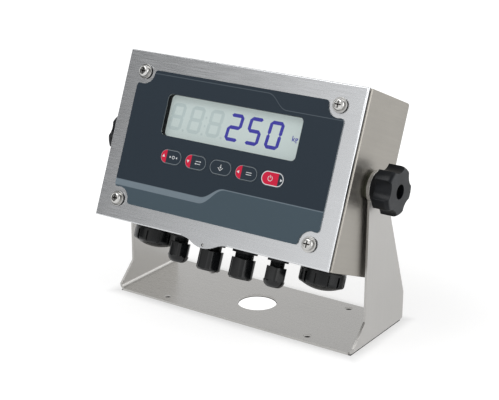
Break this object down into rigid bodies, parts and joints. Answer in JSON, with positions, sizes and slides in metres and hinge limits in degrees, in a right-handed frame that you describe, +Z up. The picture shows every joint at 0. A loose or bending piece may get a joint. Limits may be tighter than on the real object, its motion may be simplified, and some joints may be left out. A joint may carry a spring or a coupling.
{
  "type": "weighing indicator",
  "caption": "Weighing indicator: a tilting sheet-metal box with a display, membrane keys, cable glands and capped ports, held by clamp knobs between the arms of a bent stand.",
  "frame": {"origin": "middle of the stand's underside, at the middle of the pass hole", "axes": "+Z up, +X to the right as seen from the front, the display faces -Y and is tilted back"},
  "size_m": [0.2898, 0.131, 0.2252],
  "materials": {
    "stand_steel": "brushed",
    "box_steel": "brushed",
    "cover_steel": "brushed",
    "fastener_steel": "machined",
    "dome_steel": "bright",
    "pivot_spacer": "zinc plated",
    "insert_brass": "machined",
    "gasket_rubber": "matte",
    "seal_rubber": "matte",
    "cap_seal_rubber": "matte",
    "overlay_film": "fine texture, printed",
    "circuit_film": "clear film on silver tracks",
    "key_film": "fine texture, printed",
    "power_key_film": "fine texture, printed",
    "window_acrylic": "clear",
    "frame_plastic": "matte",
    "display_glass": "grey reflective display",
    "backlight_plastic": "diffusing",
    "board_laminate": "solder mask",
    "module_plastic": "moulded",
    "terminal_plastic": "moulded",
    "ribbon_plastic": "matte",
    "gland_nylon": "moulded nylon",
    "cap_nylon": "moulded nylon",
    "socket_metal": "plated",
    "knob_nylon": "moulded nylon, fine texture"
  },
  "bodies": {
    "stand": {"stand_bracket": "stand_steel"},
    "enclosure": {"box_shell": "box_steel", "front_cover": "cover_steel", "cover_gasket": "gasket_rubber", "cover_screws": "fastener_steel", "cover_washers": "fastener_steel", "washer_seals": "seal_rubber", "cover_nuts": "fastener_steel", "overlay": "overlay_film", "membrane_circuit": "circuit_film", "snap_domes": "dome_steel", "window_lens": "window_acrylic", "display_frame": "frame_plastic", "display_glass": "display_glass", "backlight": "backlight_plastic", "display_board": "board_laminate", "display_posts": "fastener_steel", "board_screws": "fastener_steel", "main_board": "board_laminate", "main_posts": "fastener_steel", "power_module": "module_plastic", "terminal_blocks": "terminal_plastic", "ribbon_headers": "module_plastic", "ribbon_cable": "ribbon_plastic", "gland_body_1": "gland_nylon", "gland_body_2": "gland_nylon", "gland_body_3": "gland_nylon", "gland_body_4": "gland_nylon", "gland_nut_1": "gland_nylon", "gland_nut_2": "gland_nylon", "gland_nut_3": "gland_nylon", "gland_nut_4": "gland_nylon", "gland_seals": "seal_rubber", "sealing_rings": "seal_rubber", "gland_locknuts": "gland_nylon", "port_body_left": "cap_nylon", "port_body_right": "cap_nylon", "port_sockets": "socket_metal", "port_locknuts": "gland_nylon", "pivot_stud_left": "fastener_steel", "pivot_stud_right": "fastener_steel", "pivot_spacer_left": "pivot_spacer", "pivot_spacer_right": "pivot_spacer"},
    "washer_left": {"knob_washer_left": "fastener_steel"},
    "knob_left": {"knob_left": "knob_nylon", "knob_insert_left": "insert_brass"},
    "cap_seal_left": {"cap_seal_left": "cap_seal_rubber"},
    "port_cap_left": {"port_cap_left": "cap_nylon"},
    "washer_right": {"knob_washer_right": "fastener_steel"},
    "knob_right": {"knob_right": "knob_nylon", "knob_insert_right": "insert_brass"},
    "cap_seal_right": {"cap_seal_right": "cap_seal_rubber"},
    "port_cap_right": {"port_cap_right": "cap_nylon"},
    "key_up": {"key_up": "key_film"},
    "key_down": {"key_down": "key_film"},
    "key_plain": {"key_plain": "key_film"},
    "key_left": {"key_left": "key_film"},
    "key_power": {"key_power": "power_key_film"}
  },
  "joints": [
    {"name": "tilt", "type": "hinge", "parent": "stand", "child": "enclosure", "pos_m": [0, -0.0141, 0.1405], "axis": [1, 0, 0], "continuous": true},
    {"name": "washer_left_slide", "type": "slide", "parent": "enclosure", "child": "washer_left", "axis": [-1, 0, 0], "range_m": [0, 0.00187]},
    {"name": "knob_left_turn", "type": "hinge", "parent": "washer_left", "child": "knob_left", "pos_m": [0, -0.0141, 0.1405], "axis": [-1, 0, 0], "range_deg": [0, 540]},
    {"name": "washer_right_slide", "type": "slide", "parent": "enclosure", "child": "washer_right", "axis": [1, 0, 0], "range_m": [0, 0.00187]},
    {"name": "knob_right_turn", "type": "hinge", "parent": "washer_right", "child": "knob_right", "pos_m": [0, -0.0141, 0.1405], "axis": [1, 0, 0], "range_deg": [0, 540]},
    {"name": "cap_left_slide", "type": "slide", "parent": "enclosure", "child": "cap_seal_left", "axis": [0, -0.3811, -0.9245], "range_m": [0, 0.006]},
    {"name": "cap_left_turn", "type": "hinge", "parent": "cap_seal_left", "child": "port_cap_left", "pos_m": [-0.0883, -0.0314, 0.06624], "axis": [0, -0.3811, -0.9245], "range_deg": [0, 1080]},
    {"name": "cap_right_slide", "type": "slide", "parent": "enclosure", "child": "cap_seal_right", "axis": [0, -0.3811, -0.9245], "range_m": [0, 0.006]},
    {"name": "cap_right_turn", "type": "hinge", "parent": "cap_seal_right", "child": "port_cap_right", "pos_m": [0.0883, -0.0314, 0.06624], "axis": [0, -0.3811, -0.9245], "range_deg": [0, 1080]},
    {"name": "key_up_press", "type": "slide", "parent": "enclosure", "child": "key_up", "axis": [0, 0.9245, -0.3811], "range_m": [0, 0.0003], "stiffness_N_per_m": 6000, "springref_m": -0.0001},
    {"name": "key_down_press", "type": "slide", "parent": "enclosure", "child": "key_down", "axis": [0, 0.9245, -0.3811], "range_m": [0, 0.0003], "stiffness_N_per_m": 6000, "springref_m": -0.0001},
    {"name": "key_plain_press", "type": "slide", "parent": "enclosure", "child": "key_plain", "axis": [0, 0.9245, -0.3811], "range_m": [0, 0.0003], "stiffness_N_per_m": 6000, "springref_m": -0.0001},
    {"name": "key_left_press", "type": "slide", "parent": "enclosure", "child": "key_left", "axis": [0, 0.9245, -0.3811], "range_m": [0, 0.0003], "stiffness_N_per_m": 6000, "springref_m": -0.0001},
    {"name": "key_power_press", "type": "slide", "parent": "enclosure", "child": "key_power", "axis": [0, 0.9245, -0.3811], "range_m": [0, 0.0003], "stiffness_N_per_m": 6000, "springref_m": -0.0001}
  ],
  "couplings": [
    {"joint": "knob_left_turn", "follows": "washer_left_slide", "rad_per_m": 5026.5},
    {"joint": "knob_right_turn", "follows": "washer_right_slide", "rad_per_m": 5026.5},
    {"joint": "cap_left_turn", "follows": "cap_left_slide", "rad_per_m": 3141.6},
    {"joint": "cap_right_turn", "follows": "cap_right_slide", "rad_per_m": 3141.6}
  ]
}
